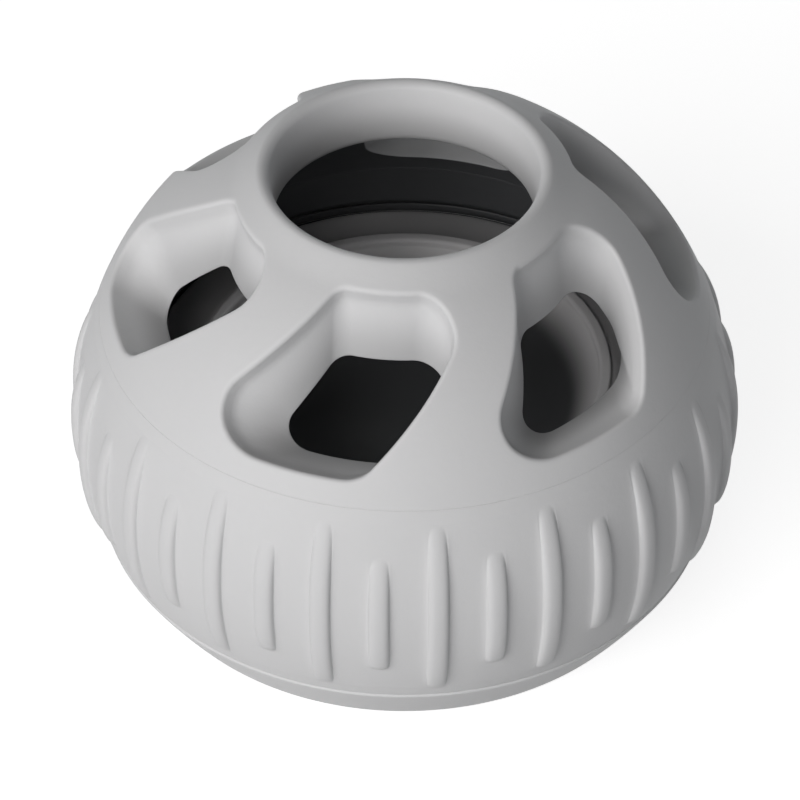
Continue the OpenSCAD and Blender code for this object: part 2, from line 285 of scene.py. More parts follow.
def mouldedFinish(name):
    # matt moulded surface: faint cloudy shade, uneven roughness and a fine grain, with painted
    # shade where a finish asks for it
    look = finishes[name]
    made = bpy.data.materials.new(name)
    made.use_nodes = True
    made.node_tree.nodes.clear()
    start = Wire(made.node_tree)
    place = start.add("ShaderNodeTexCoord", out="Object")

    def noise(kind, scale):
        settings = {"Scale": scale, "Detail": moulding[kind + "Detail"]}
        if kind + "Roughness" in moulding:
            settings["Roughness"] = moulding[kind + "Roughness"]
        return start.add("ShaderNodeTexNoise", None, {"Vector": place, **settings})

    def scaled(vector, share):
        return start.add("ShaderNodeVectorMath", {"operation": "SCALE"},
                         {"Vector": vector, "Scale": share})

    def distance(centre, directions):
        # how far a point is from a centre, counted along some of the axes
        away = start.add("ShaderNodeVectorMath", {"operation": "SUBTRACT"},
                         {"Vector": place, "Vector_001": centre})
        away = start.add("ShaderNodeVectorMath", {"operation": "MULTIPLY"},
                         {"Vector": away, "Vector_001": directions})
        return start.add("ShaderNodeVectorMath", {"operation": "LENGTH"}, {"Vector": away},
                         "Value")

    def fade(value, begin, full):
        return start.add("ShaderNodeMapRange", {"interpolation_type": "SMOOTHSTEP"},
                         {"Value": value, "From Min": begin * mm, "From Max": full * mm})

    def tinted(under, share, tint):
        return start.add("ShaderNodeMix", {"data_type": "RGBA"},
                         {"Factor_Float": share, "A_Color": under, "B_Color": (*tint, 1.0)},
                         "Result_Color")

    cloud = noise("cloud", moulding["cloudScale"])
    speck = noise("speck", moulding["speckScale"])
    grain = noise("grain", look["grainScale"])
    speckMottle = look["mottle"] * moulding["speckShare"]
    shade = 1.0 + (cloud - 0.5) * look["mottle"] + (speck - 0.5) * speckMottle
    colour = scaled(look["colour"], shade)
    if "paintedHollowShade" in look:                     # painted shade on the hollow's skin, inside a ball or an upright tube
        outward = distance(tuple(ballCentre * mm), look["hollow"])
        # painted shade, growing deeper into the windows and the mouth
        if "paintedDepthShade" in look:
            paintedDepth = fade(outward, look["deepFrom"], look["deepTo"])
            colour = scaled(colour, 1.0 - paintedDepth * look["paintedDepthShade"])
        # mask of the painted shade on the hollow's skin
        hollow = fade(outward, ball["cavity"] + moulding["hollowShadeFrom"],
                      ball["cavity"] + moulding["hollowShadeTo"])
        colour = tinted(colour, hollow, look["paintedHollowShade"])
    if "paintedShadeZones" in look:                     # rings of painted shade round the axis
        fromAxis = distance((0, 0, 0), (1, 1, 0))
        for tint, begin, full in look["paintedShadeZones"]:
            colour = tinted(colour, fade(fromAxis, begin, full), tint)
    rough = look["rough"] + (cloud - 0.5) * moulding["cloudGloss"] \
        + (speck - 0.5) * moulding["speckGloss"]
    bump = start.add("ShaderNodeBump", None,
                     {"Height": grain + speck, "Distance": look["grain"],
                      "Strength": moulding["bump"]})
    skin = start.add("ShaderNodeBsdfPrincipled", None,
                     {"Base Color": colour, "Roughness": rough, "Normal": bump,
                      "Specular IOR Level": look["gloss"]})
    start.add("ShaderNodeOutputMaterial", None, {"Surface": skin})
    made.diffuse_color = (*look["colour"], 1.0)
    return made


domeRubber, bowlRubber, footRubber, cupPlastic, collarPlastic, sealRubber = map(
    mouldedFinish, finishes)
print("made finishes:", ", ".join(finishes))


dome = {
    "copies": 6, "turn": -14.0,             # windows, and where the first one's middle points
    "sill": 3.862, "brow": 4.6,             # skin below and above a window
    "topBridge": 9.7, "lowBridge": 12.7,    # skin between two windows, at their top and bottom
    "skew": 17.0,                           # sideways shift of a window's top past its bottom
    "radii": (5.7, 3.6, 6.3, 4.2),          # top right, top left, low left, low right
    "roll": 0.75,                           # reach of the rolled edge, both ways
    "shelf": 1.6, "shelfLean": 0.9,         # how deep a window's steep edge goes, and its lean
    "shelfRound": 1.0,                      # hollow rounding between that edge and the slope
    "throatSill": 0.7, "throatBrow": 6.6,   # the inner opening, against the window
    "throatTopBridge": 13.0, "throatLowBridge": 8.8,
    "throatSkew": 3.5, "throatSide": 3.1,
    "throatRadii": (4.6, 3.3, 3.3, 6.2),
    "innerEdge": 0.25,
    "skinTop": 61.9, "skinLow": 25.3,       # latitudes between which the windows' cells lie
    "cavityTop": 55.0, "cavityLow": 26.3,
    "mouth": 18.5, "mouthLow": 60.4,        # the mouth's narrowest radius, and how low it runs
    "mouthRound": 1.6,                      # rounding between the mouth and the hollow
    "lipRadius": 20.3, "lip": 1.25, "lipProud": 0.6,
    "lipTurn": 54.0, "flankFrom": 58.24,    # where the flank leaves the lip, and meets the ball
    "lipEnd": 165.0,                        # where the mouth's wall takes over from the lip
    "tube": 37.83,                          # outside of the skirt in the collar
    "crackEdge": 0.04,                      # rounding along the parting line
    "tubeEdge": 0.2,                        # rounding of the skirt's edges
    "arcSteps": 9, "sideSteps": 18,         # points in half a corner and along a straight side
    "skinRows": 11, "rollRows": 8, "foldRows": 5, "wallRows": 6, "cavityRows": 8,
    "edgeRows": 3, "flankSteps": 60, "neckRows": 4, "lipRows": 15, "mouthRows": 9,
    "wallStop": 0.94,                       # share of the slope at which its last row lies
    "cavityStart": (0.06, 0.12),            # shares of the way from the throat's edge, likewise
}

lipRadius = dome["lipRadius"]
lipHeight = (ball["centre"] + math.sqrt(ball["radius"] ** 2 - lipRadius ** 2)
             + dome["lipProud"] - dome["lip"])
windowLow = math.asin((ball["parting"] - ball["centre"]) / ball["radius"]) \
    + dome["sill"] / ball["radius"]
windowHigh = math.acos(lipRadius / ball["radius"]) - dome["brow"] / ball["radius"]
windowLat = (windowLow + windowHigh) / 2
throatLow = windowLow + dome["throatSill"] / ball["cavity"]
throatHigh = windowHigh - dome["throatBrow"] / ball["cavity"]


def bezier(controls, steps):
    t = np.linspace(0, 1, steps + 1)[:, None]
    level = [np.array(c, float) * np.ones_like(t) for c in controls]
    while len(level) > 1:
        level = [a * (1 - t) + b * t for a, b in zip(level, level[1:])]
    return level[0]


def lipFlank():
    # section of the soft flank between the ball's skin and the lip
    low, turn = math.radians(dome["flankFrom"]), math.radians(dome["lipTurn"])
    foot = np.array([ball["radius"] * math.cos(low),
                     ball["centre"] + ball["radius"] * math.sin(low)])
    head = np.array([lipRadius + dome["lip"] * math.cos(turn),
                     lipHeight + dome["lip"] * math.sin(turn)])
    reach = np.linalg.norm(head - foot) / 3
    return bezier([foot, foot + reach * np.array([-math.sin(low), math.cos(low)]),
                   head + reach * np.array([math.sin(turn), -math.cos(turn)]), head],
                  dome["flankSteps"])


flank = lipFlank() - [0, ball["centre"]]
flankLat, flankRadius = np.arctan2(flank[:, 1], flank[:, 0]), np.linalg.norm(flank, axis=1)


def onBall(angles, radius):
    # points from azimuths, counted from the front towards +X, and latitudes
    azimuth, lat = angles.T
    return ballCentre + np.c_[radius * np.cos(lat) * np.sin(azimuth),
                              -radius * np.cos(lat) * np.cos(azimuth),
                              radius * np.sin(lat)]


def onSkin(angles):
    return onBall(angles, np.interp(angles[:, 1], flankLat, flankRadius, left=ball["radius"]))


def anglesOf(points):
    x, y, z = (points - ballCentre).T
    return np.c_[np.arctan2(x, -y), np.arctan2(z, np.hypot(x, y))]


def openingOutline(topBridge, lowBridge, skew, low, high, radii, radius, side=0.0):
    # angles round a four-sided opening, counterclockwise from the middle of its top right corner
    pitch = math.tau * radius * math.cos(windowLat) / dome["copies"]
    top, bottom = pitch - topBridge, pitch - lowBridge
    up, down = ((lat - windowLat) * radius for lat in (high, low))
    corners = [((skew + top) / 2, up), ((skew - top) / 2, up),
               ((-skew - bottom) / 2, down), ((-skew + bottom) / 2, down)]
    half, straight = dome["arcSteps"], dome["sideSteps"]
    arcs = [cornerArc(corners[k - 1], corners[k], corners[(k + 1) % 4], radii[k], 2 * half)
            for k in range(4)]
    rows = []
    for k in range(4):
        here, there = arcs[k][half:], arcs[(k + 1) % 4][0]
        rows += list(here) + [here[-1] + (there - here[-1]) * s / straight
                              for s in range(1, straight)]
        rows += list(arcs[(k + 1) % 4][:half])
    chart = np.array(rows) + [side, 0]
    return np.c_[chart[:, 0] / (radius * math.cos(windowLat)), windowLat + chart[:, 1] / radius]


def cellOutline(slope, side, low, high, count):
    # border of one window's share of the dome, matched point by point to the opening
    step = math.tau / dome["copies"]
    right = [side + step / 2 + slope * (lat - windowLat) for lat in (high, low)]
    corners = np.array([(right[0], high), (right[0] - step, high),
                        (right[1] - step, low), (right[1], low)])
    return np.concatenate([corners[k] + (corners[(k + 1) % 4] - corners[k])
                           * np.arange(count)[:, None] / count for k in range(4)])


def beside(ring):
    # directions in the ball's surface, square to a ring, away from the opening
    return unit(np.cross(np.roll(ring, -1, 0) - np.roll(ring, 1, 0), ring - ballCentre))


def revolvedStrip(section, outer, inner):
    # rows that carry a section's points from one border's azimuths to another's
    section = np.asarray(section)
    run = np.r_[0, np.cumsum(np.linalg.norm(np.diff(section, axis=0), axis=1))]
    rows = []
    for (r, z), s in zip(section, run / run[-1]):
        azimuth = outer * (1 - s) + inner * s
        rows.append(np.c_[r * np.sin(azimuth), -r * np.cos(azimuth), np.full(len(azimuth), z)])
    return rows


def domeSector():
    edgeAngles = openingOutline(dome["topBridge"], dome["lowBridge"], dome["skew"],
                                windowLow, windowHigh, dome["radii"], ball["radius"])
    throatAngles = openingOutline(dome["throatTopBridge"], dome["throatLowBridge"],
                                  dome["throatSkew"], throatLow, throatHigh,
                                  dome["throatRadii"], ball["cavity"], dome["throatSide"])
    edge, throat = onSkin(edgeAngles), onBall(throatAngles, ball["cavity"])
    shelf = (edge + unit(ballCentre - edge) * dome["shelf"]
             + unit(throat - edge) * dome["shelfLean"])
    steep, slope = unit(shelf - edge), unit(throat - shelf)
    start = onSkin(anglesOf(edge + beside(edge) * dome["roll"]))
    end = edge + steep * dome["roll"]
    fold, unfold = shelf - steep * dome["shelfRound"], shelf + slope * dome["shelfRound"]
    near = throat - slope * dome["innerEdge"]
    far = onBall(anglesOf(throat + beside(throat) * dome["innerEdge"]), ball["cavity"])

    count = len(edge) // 4
    skinTop, skinLow, cavityTop, cavityLow = (
        math.radians(dome[name]) for name in ("skinTop", "skinLow", "cavityTop", "cavityLow"))
    scale = ball["radius"] * math.cos(windowLat)
    skinSlope = dome["skew"] / scale / (windowHigh - windowLow)
    innerScale = ball["cavity"] * math.cos(windowLat)
    innerSlope = dome["throatSkew"] / innerScale / (throatHigh - throatLow)
    skinCell = cellOutline(skinSlope, 0, skinLow, skinTop, count)
    cavityCell = cellOutline(innerSlope, dome["throatSide"] / innerScale, cavityLow, cavityTop,
                             count)

    def between(a, b, rows, place):
        return [place(a + (b - a) * s) for s in np.linspace(0, 1, rows + 1)]

    def bend(a, b, c, rows):
        return [(1 - t) ** 2 * a + 2 * t * (1 - t) * b + t * t * c
                for t in np.linspace(0, 1, rows + 1)[1:]]

    rings = between(skinCell, anglesOf(start), dome["skinRows"], onSkin)
    rings += bend(start, edge, end, dome["rollRows"]) + bend(fold, shelf, unfold, dome["foldRows"])
    for s in [*np.linspace(0, dome["wallStop"], dome["wallRows"])[1:], 1]:
        rings.append(unfold + (near - unfold) * s)
    rings += bend(near, throat, far, dome["edgeRows"])
    farAngles = anglesOf(far)
    first, second = dome["cavityStart"]
    for s in [first, *np.linspace(second, 1, dome["cavityRows"])]:
        rings.append(onBall(farAngles + (cavityCell - farAngles) * s, ball["cavity"]))

    turns = np.radians(np.linspace(dome["lipTurn"], dome["lipEnd"], dome["lipRows"] + 1))
    mouthEnd = ball["centre"] + math.sqrt(ball["cavity"] ** 2 - dome["mouth"] ** 2)
    lats = np.linspace(skinTop, flankLat[-1], dome["neckRows"] + 1)
    radii = np.interp(lats, flankLat, flankRadius)
    top = [(r * math.cos(a), ball["centre"] + r * math.sin(a), 0) for a, r in zip(lats, radii)]
    top += [(lipRadius + dome["lip"] * math.cos(t), lipHeight + dome["lip"] * math.sin(t), 0)
            for t in turns[1:]]
    last = turns[-1]
    wallTop = np.array(top[-1][:2])
    reach = (wallTop[1] - dome["mouthLow"]) / 3
    wall = bezier([wallTop, wallTop + reach * np.array([-math.sin(last), math.cos(last)]),
                   (dome["mouth"], dome["mouthLow"] + reach), (dome["mouth"], dome["mouthLow"])],
                  dome["mouthRows"])
    top += [(r, z, 0) for r, z in wall[1:]]
    top += [(dome["mouth"], mouthEnd, dome["mouthRound"])]
    top += ballArc(ball["cavity"], mouthEnd, ball["centre"] + ball["cavity"] * math.sin(cavityTop),
                   2)[1:]
    tube = dome["tube"]
    rim = ballArc(ball["radius"], ball["centre"] + ball["radius"] * math.sin(skinLow),
                  ball["parting"], 4)
    low = rim[:-1] + [(*rim[-1][:2], dome["crackEdge"]), (tube, ball["parting"], dome["tubeEdge"]),
                      (tube, ball["skirt"], dome["tubeEdge"])]
    skirt = ballArc(ball["cavity"], ball["skirt"],
                    ball["centre"] + ball["cavity"] * math.sin(cavityLow), 4)
    low += [(*skirt[0][:2], dome["crackEdge"])] + skirt[1:]
    topSide, lowSide = slice(0, count + 1), slice(2 * count, 3 * count + 1)
    topRows = revolvedStrip(roundedSection(top, False, dome["edgeRows"]), skinCell[topSide, 0],
                            cavityCell[topSide, 0])
    lowRows = revolvedStrip(roundedSection(low, False, dome["edgeRows"]), skinCell[lowSide, 0],
                            cavityCell[lowSide, 0])

    points, faces = np.concatenate(rings), []
    n = 4 * count
    for j in range(len(rings) - 1):
        faces += [(j * n + i, j * n + (i + 1) % n, (j + 1) * n + (i + 1) % n, (j + 1) * n + i)
                  for i in range(n)]
    for strip in (topRows, lowRows):
        base, m = len(points), count + 1
        points = np.concatenate([points, *strip])
        for j in range(len(strip) - 1):
            faces += [(base + j * m + i, base + (j + 1) * m + i,
                       base + (j + 1) * m + i + 1, base + j * m + i + 1) for i in range(count)]
    return points, faces


start, ports = geometryTree("windowsRoundDome", repeatInputs)
repeatAround(start, ports, ports["Geometry"])
upperDome = pieceFrom("ballDome", *domeSector(), domeRubber)
growPiece(upperDome, start.tree, {"Copies": dome["copies"], "Turn": math.radians(dome["turn"]),
                                  "Finish": domeRubber})
settle(upperDome, "upper", "soft_body", "upper_dome")


bowl = {
    "pairs": 18, "turn": 5.7,               # long ribs, and where the first one points
    "longHeight": 30.4, "shortHeight": 20.8, "ribMiddle": 25.15,
    "proud": 1.2, "width": 3.0, "square": 2.7,
    "knee": 0.94, "sideSlope": 3.0,         # where a rib's side runs on straight, and how steeply
    "fillet": 0.1, "skirtHeight": 0.32, "skirtReach": 0.6,
    "crest": 2.6, "crestEnd": 0.8,          # how a rib's crest runs out towards its top
    "foot": 5.0, "footEnd": 0.7,            # and towards its foot
    "crackEdge": 0.04,                      # rounding along the parting line and the seam
    "floor": 12.0, "hole": 30.1, "collarSeat": 28.7, "boreEdge": 0.2,
    "rows": 60, "cornerSteps": 3,
    "skinBand": 0.01,                       # how near the ball's radius a point counts as its skin
    "crowding": 2.4, "crowdReach": 1.5,     # how much closer rows lie near the ribs' ends
    # columns of half a share, in degrees: closest at the ribs' sides
    "columns": (0, .6, 1.05, 1.32, 1.5, 1.62, 1.7, 1.77, 1.84, 1.92, 2.02, 2.2, 2.5, 2.95, 3.7, 5),
}


def ribbedTree():
    # raises one long rib at the front and half a short rib at each side, then repeats them
    inputs = {label: "Float" for label in (
        "Ball Centre", "Rib Middle", "Long Height", "Short Height", "Proud", "Square", "Crest",
        "Crest End", "Foot", "Foot End", "Rib Radius", "Knee", "Side Slope", "Fillet",
        "Skirt Height", "Skirt Reach")}
    start, ports = geometryTree("ribsRoundBowl", {**inputs, **repeatInputs})
    place = start.add("GeometryNodeInputPosition")
    parts = start.add("ShaderNodeSeparateXYZ", None, {"Vector": place}).socket.node.outputs
    x, y, z = (Wire(start.tree, s) for s in parts)
    out = (x * x + y * y).root()
    azimuth = start.maths("ABSOLUTE", start.maths("ARCTAN2", x, y * -1.0))
    step = start.maths("DIVIDE", math.pi, ports["Copies"])
    up = z - ports["Rib Middle"]
    radius = ports["Rib Radius"]

    def rib(across, length):
        along = up * 2.0 / length
        above, below = along.most(0.0), (along * -1.0).most(0.0)
        full = (1.0 - above.power(ports["Crest"])).most(0.0).power(ports["Crest End"])
        full = full * (1.0 - below.power(ports["Foot"])).most(0.0).power(ports["Foot End"])
        past = (above + below - 1.0).most(0.0) * length
        under = (radius - length * 0.5 - up).most(0.0)
        away = (across * across + under * under).root()
        share = away / radius
        arch = (1.0 - share.least(ports["Knee"]).power(ports["Square"])).power(
            1.0 / ports["Square"])
        side = ports["Proud"] * (1.0 - arch) \
            + (share - ports["Knee"]).most(0.0) * radius * ports["Side Slope"]
        skirt = start.maths("EXPONENT", (radius - away).least(0.0) / ports["Skirt Reach"])
        return (ports["Proud"] * full - past - side).most(
            skirt * ports["Skirt Height"] * full - past)

    long = rib(out * azimuth, ports["Long Height"])
    short = rib(out * (step - azimuth), ports["Short Height"])
    height = long.most(short)
    soft = ports["Fillet"]
    raised = (height + (height * height + soft * soft).root()) * 0.5
    skin = start.add("GeometryNodeInputNamedAttribute", {"data_type": "FLOAT"}, {"Name": "skin"})
    centre = start.add("ShaderNodeCombineXYZ", None, {"Z": ports["Ball Centre"]})
    outward = start.add("ShaderNodeVectorMath", {"operation": "SUBTRACT"},
                        {"Vector": place, "Vector_001": centre})
    outward = start.add("ShaderNodeVectorMath", {"operation": "NORMALIZE"}, {"Vector": outward})
    shift = start.add("ShaderNodeVectorMath", {"operation": "SCALE"},
                      {"Vector": outward, "Scale": raised * skin})
    ribbed = start.add("GeometryNodeSetPosition", None,
                       {"Geometry": ports["Geometry"], "Offset": shift})
    repeatAround(start, ports, ribbed)
    return start.tree


def bowlSector():
    # one long rib's share of the bowl, still smooth, with its columns closest at the ribs' sides
    tries = np.linspace(ball["seam"], ball["parting"], 800)     # fine steps to count the rows on
    ends = [bowl["ribMiddle"] + side * height / 2 for side in (-1, 1)
            for height in (bowl["longHeight"], bowl["shortHeight"])]
    crowd = 1 + sum(bowl["crowding"] * np.exp(-((tries - end) / bowl["crowdReach"]) ** 2)
                    for end in ends)
    run = np.cumsum(crowd) - crowd[0]
    heights = np.interp(np.linspace(0, run[-1], bowl["rows"] + 1), run, tries)
    skin = [(math.sqrt(ball["radius"] ** 2 - (z - ball["centre"]) ** 2), z, 0) for z in heights]
    crack = bowl["crackEdge"]
    corners = [(*skin[0][:2], crack), *skin[1:-1], (*skin[-1][:2], crack),
               (ball["bore"], ball["parting"], bowl["boreEdge"]),
               (ball["bore"], bowl["collarSeat"], 0),
               (ball["cavity"], bowl["collarSeat"], 0), (ball["cavity"], bowl["floor"], 0),
               (bowl["hole"], bowl["floor"], 0), (bowl["hole"], ball["seam"], 0)]
    section = roundedSection(corners, steps=bowl["cornerSteps"])
    share = 180 / bowl["pairs"]
    half = np.array([*bowl["columns"], *(share - a for a in reversed(bowl["columns"][:-1]))])
    columns = np.radians(np.r_[-half[:0:-1], half])
    points = np.array([[r * math.sin(a), -r * math.cos(a), z] for a in columns for r, z in section])
    n = len(section)
    faces = [(i * n + k, (i + 1) * n + k, (i + 1) * n + (k + 1) % n, i * n + (k + 1) % n)
             for i in range(len(columns) - 1) for k in range(n)]
    onSurface = np.abs(np.hypot(section[:, 0], section[:, 1] - ball["centre"])
                       - ball["radius"]) < bowl["skinBand"]
    return points, faces, np.tile(onSurface.astype(np.float32), len(columns))


points, faces, skinMask = bowlSector()
lowerBowl = pieceFrom("ribbedBowl", points, faces, bowlRubber)
lowerBowl.data.attributes.new("skin", "FLOAT", "POINT").data.foreach_set("value", skinMask)
growPiece(lowerBowl, ribbedTree(), {
    "Ball Centre": ball["centre"] * mm, "Rib Middle": bowl["ribMiddle"] * mm,
    "Long Height": bowl["longHeight"] * mm, "Short Height": bowl["shortHeight"] * mm,
    "Proud": bowl["proud"] * mm, "Square": bowl["square"], "Crest": bowl["crest"],
    "Crest End": bowl["crestEnd"], "Foot": bowl["foot"], "Foot End": bowl["footEnd"],
    "Rib Radius": bowl["width"] / 2 * mm,
    "Knee": bowl["knee"], "Side Slope": bowl["sideSlope"],
    "Fillet": bowl["fillet"] * mm, "Skirt Height": bowl["skirtHeight"] * mm,
    "Skirt Reach": bowl["skirtReach"] * mm,
    "Copies": bowl["pairs"], "Turn": math.radians(bowl["turn"]), "Finish": bowlRubber})
settle(lowerBowl, "lower", "soft_body", "lower_bowl")


foot = {
    "top": 45.05, "flat": 39.75,            # radii at the seam and at the rest face
    "bulge": (42.6, 3.95),                  # what the side between them bends towards
    "stepEdge": 0.55, "lowEdge": 0.4,       # rounding at the seam and at the rest face
    "spigot": 30.0, "spigotTop": 13.6, "spigotEdge": 0.4,
    "sideRows": 7, "cornerSteps": 5,
}


def footSection():
    side = bezier([(foot["flat"], 0), foot["bulge"], (foot["top"], ball["seam"])],
                  foot["sideRows"])
    corners = [(0, 0, 0), (foot["flat"], 0, foot["lowEdge"])] + [(r, z, 0) for r, z in side[1:-1]]
    corners += [(foot["top"], ball["seam"], foot["stepEdge"]), (foot["spigot"], ball["seam"], 0),
                (foot["spigot"], foot["spigotTop"], foot["spigotEdge"]),
                (0, foot["spigotTop"], 0)]
    return roundedSection(corners, steps=foot["cornerSteps"])


baseFoot = turnedPiece("restFoot", footSection(), footRubber)
settle(baseFoot, "lower", "soft_body", "base_foot")


cup = {
    "outside": 37.9, "wall": 2.0, "low": 12.0,
    "flange": 38.7, "flangeThick": 1.6,
    "ledge": 29.9, "ledgeEdge": 0.8, "ledgeRise": 1.1,
    "rim": 29.2, "bead": 0.9, "crest": 31.6,
    "beadRound": 0.98,                      # share of the bead's half width that is rounded
    "beadFoot": 0.4, "shoulder": 1.2, "innerRound": 0.6, "flangeEdge": 0.2,
    "dishLow": 16.5, "dishRadius": 35.7,
    "dishRows": 25, "backRows": 13, "cornerSteps": 6,
}


def cupSection():
    inner, outer = cup["rim"] - cup["bead"], cup["rim"] + cup["bead"]
    middle = cup["dishLow"] + cup["dishRadius"]
    under = cup["dishRadius"] + cup["wall"]
    dish = [(r, middle - math.sqrt(cup["dishRadius"] ** 2 - r * r), 0)
            for r in np.linspace(0, inner, cup["dishRows"] + 1)]
    back = [(r, middle - math.sqrt(under ** 2 - r * r), 0)
            for r in np.linspace(inner, 0, cup["backRows"] + 1)]
    slope = cup["ledgeRise"] / (cup["outside"] - cup["ledgeEdge"] - cup["rim"])
    ledgeAt = cup["ledge"] + slope * (cup["outside"] - cup["ledgeEdge"] - outer)
    wall, flangeTop = cup["outside"] - cup["wall"], cup["low"] + cup["flangeThick"]
    beadRound, flangeEdge = cup["bead"] * cup["beadRound"], cup["flangeEdge"]
    corners = dish[:-1] + [
        (inner, dish[-1][1], cup["beadFoot"]),
        (inner, cup["crest"], beadRound), (outer, cup["crest"], beadRound),
        (outer, ledgeAt, cup["beadFoot"]),
        (cup["outside"], cup["ledge"] - slope * cup["ledgeEdge"], cup["shoulder"]),
        (cup["outside"], flangeTop, cup["beadFoot"]), (cup["flange"], flangeTop, flangeEdge),
        (cup["flange"], cup["low"], flangeEdge), (wall, cup["low"], flangeEdge),
        (wall, cup["ledge"] - cup["wall"], cup["innerRound"]),
        (cup["rim"], cup["ledge"] + cup["ledgeRise"] - cup["wall"], 0)] + back
    return roundedSection(corners, steps=cup["cornerSteps"])


treatCup = turnedPiece("dishedCup", cupSection(), cupPlastic)
settle(treatCup, "lower", "cup", "treat_cup")


screw = {
    "lead": 12.0, "starts": 3,
    "upperOut": 39.33, "upperIn": 37.93, "upperEnd": 30.7,
    "flange": 41.63, "flangeLow": 41.6,
    "lowerOut": 41.83, "lowerIn": 40.63, "lowerEnd": 28.7, "lowerTop": 40.6, "footThick": 1.4,
    "sealIn": 39.63,
    "maleFrom": 31.4, "maleTo": 38.6, "femaleFrom": 33.6, "femaleTo": 40.2,
    "tooth": 0.95,                          # half a ridge's height, along the axis
    "toothBase": 1.7, "toothTop": 0.8,      # twice how far its upper and lower edges stand out
    "fade": 1 / 16, "fadeEnd": 0.02,        # share of a ridge that tapers out, and its end's size
    "coilSteps": 160,
    "endEdge": 0.3, "wallEdge": 0.2, "flangeEdge": 0.15, "gapEdge": 0.1, "topEdge": 0.25,
}


def ridgeTree():
    # ridges along a helix, one for each start, faded out at both ends. Known faults: the spiral
    # is left-handed where the joint is right-handed, so the collars' ridges cut through each
    # other on the way, and the trapezoid lies on its side, with its height along the axis
    start, ports = geometryTree("threadRidges", {
        "Radius": "Float", "Rise": "Float", "Rotations": "Float", "Lift": "Float",
        "Tooth Height": "Float", "Tooth Base": "Float", "Tooth Top": "Float", **repeatInputs})
    spiral = start.add("GeometryNodeCurveSpiral", None,
                       {"Resolution": screw["coilSteps"], "Rotations": ports["Rotations"],
                        "Start Radius": ports["Radius"], "End Radius": ports["Radius"],
                        "Height": ports["Rise"]})
    lift = start.add("ShaderNodeCombineXYZ", None, {"Z": ports["Lift"]})
    raised = start.add("GeometryNodeSetPosition", None, {"Geometry": spiral, "Offset": lift})
    upright = start.add("GeometryNodeSetCurveNormal", {"mode": "Z_UP"}, {"Curve": raised})
    along = start.add("GeometryNodeSplineParameter", None, None, "Factor")
    taper = start.maths("PINGPONG", along, 0.5) / screw["fade"]
    taper = taper.least(1.0).most(screw["fadeEnd"])
    faded = start.add("GeometryNodeSetCurveRadius", None, {"Curve": upright, "Radius": taper})
    tooth = start.add("GeometryNodeCurvePrimitiveQuadrilateral", {"mode": "TRAPEZOID"},
                      {"Height": ports["Tooth Height"], "Bottom Width": ports["Tooth Base"],
                       "Top Width": ports["Tooth Top"], "Offset": 0.0})
    ridge = start.add("GeometryNodeCurveToMesh", None,
                      {"Curve": faded, "Profile Curve": tooth, "Scale": taper, "Fill Caps": True})
    repeatAround(start, ports, ridge)
    return start.tree


ridges = ridgeTree()


def collarPiece(name, section, radius, low, high, depth, offset):
    # collar with its thread ridges, as one piece; the offset is a share of a turn
    collar = turnedPiece(name, section, collarPlastic)
    thread = pieceFrom(name + "Thread", [], [], collarPlastic)
    growPiece(thread, ridges, {
        "Radius": radius * mm, "Rise": (high - low) * mm, "Lift": low * mm,
        "Rotations": (high - low) / screw["lead"], "Tooth Height": 2 * depth * mm,
        "Tooth Base": screw["toothBase"] * mm, "Tooth Top": screw["toothTop"] * mm,
        "Copies": screw["starts"], "Turn": math.tau * (low / screw["lead"] + offset),
        "Finish": collarPlastic})
    bpy.ops.object.select_all(action="DESELECT")
    thread.select_set(True)
    collar.select_set(True)
    bpy.context.view_layer.objects.active = collar
    bpy.ops.object.join()
    return collar


endEdge, wallEdge, flangeEdge, gapEdge = (
    screw[name] for name in ("endEdge", "wallEdge", "flangeEdge", "gapEdge"))
hollowSide = ballArc(ball["cavity"], screw["upperEnd"], ball["skirt"], 10)[::-1]
upperSection = roundedSection([
    (screw["upperOut"], screw["upperEnd"], endEdge),
    (screw["upperOut"], screw["flangeLow"], wallEdge),
    (screw["flange"], screw["flangeLow"], flangeEdge),
    (screw["flange"], ball["parting"], flangeEdge),
    (screw["upperIn"], ball["parting"], flangeEdge), (screw["upperIn"], ball["skirt"], 0),
    (*hollowSide[0][:2], gapEdge)] + hollowSide[1:])
lowerSection = roundedSection([
    (screw["lowerOut"], screw["lowerEnd"], wallEdge),
    (screw["lowerOut"], screw["lowerTop"], screw["topEdge"]),
    (screw["lowerIn"], screw["lowerTop"], screw["topEdge"]),
    (screw["lowerIn"], screw["lowerEnd"] + screw["footThick"], endEdge),
    (ball["cavity"], screw["lowerEnd"] + screw["footThick"], wallEdge),
    (ball["cavity"], screw["lowerEnd"], wallEdge)])
upperCollar = collarPiece("screwCollarUpper", upperSection, screw["upperOut"], screw["maleFrom"],
                          screw["maleTo"], screw["tooth"], 0.0)
settle(upperCollar, "upper", "collar", "upper_collar")
midway = 1 / (2 * screw["starts"])      # half a pitch, if the spiral were right-handed
lowerCollar = collarPiece("screwCollarLower", lowerSection, screw["lowerIn"], screw["femaleFrom"],
                          screw["femaleTo"], screw["tooth"], midway)
settle(lowerCollar, "lower", "collar", "lower_collar")

sealSection = roundedSection([
    (screw["sealIn"], screw["lowerTop"], endEdge), (screw["flange"], screw["lowerTop"], endEdge),
    (screw["flange"], screw["flangeLow"], endEdge), (screw["sealIn"], screw["flangeLow"], endEdge)])
sealRing = turnedPiece("sealRing", sealSection, sealRubber)
settle(sealRing, "seal", "seal", "seal_ring")


